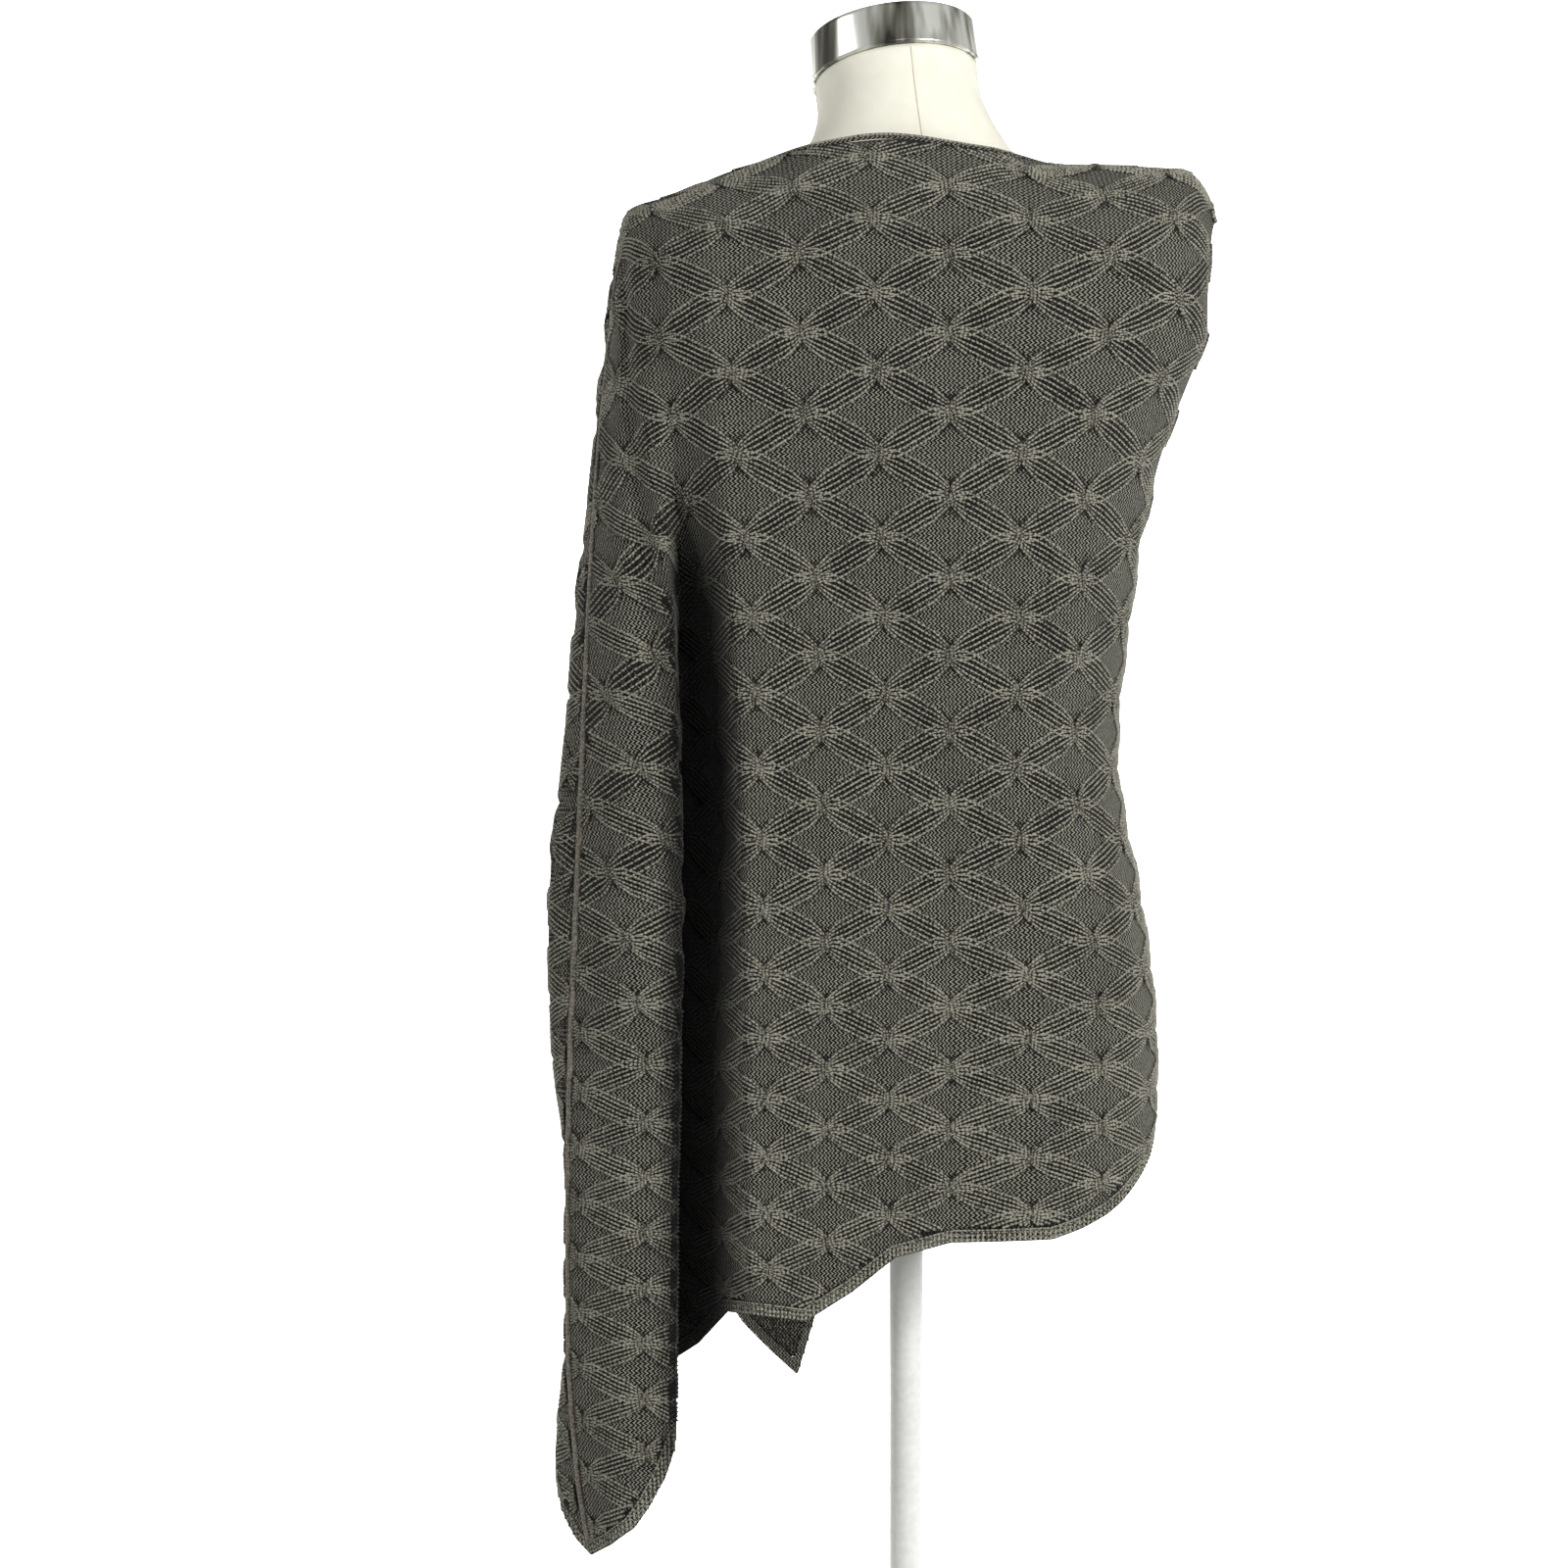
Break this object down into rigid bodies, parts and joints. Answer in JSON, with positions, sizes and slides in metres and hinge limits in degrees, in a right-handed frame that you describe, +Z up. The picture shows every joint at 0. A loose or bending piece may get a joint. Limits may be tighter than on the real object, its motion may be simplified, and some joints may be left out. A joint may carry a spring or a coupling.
{
  "type": "knitted poncho sweater on a dress form",
  "caption": "Lattice-cabled knitted poncho sweater with a wide neck, a slanting hem and a long hanging point, worn by a limbless dress form on a pole stand.",
  "frame": {"origin": "centre of the stand base's underside, on the floor", "axes": "+Z up along the pole, -Y the back of the poncho, -X the side with the long hanging point"},
  "size_m": [0.4763, 0.38, 1.2322],
  "materials": {
    "knit": "dark grey heathered wool knit, matt",
    "linen": "ivory linen cover, matt",
    "steel": "polished brushed steel",
    "enamel": "white enamel, satin"
  },
  "bodies": {
    "root": {"back_panel": "knit", "front_panel": "knit", "hem_band_back": "knit", "hem_band_front": "knit", "neck_edge_back": "knit", "neck_edge_front": "knit", "form_torso": "linen", "form_neck_cap": "steel", "form_flange": "enamel", "form_pole": "enamel", "form_base": "enamel"}
  },
  "joints": []
}
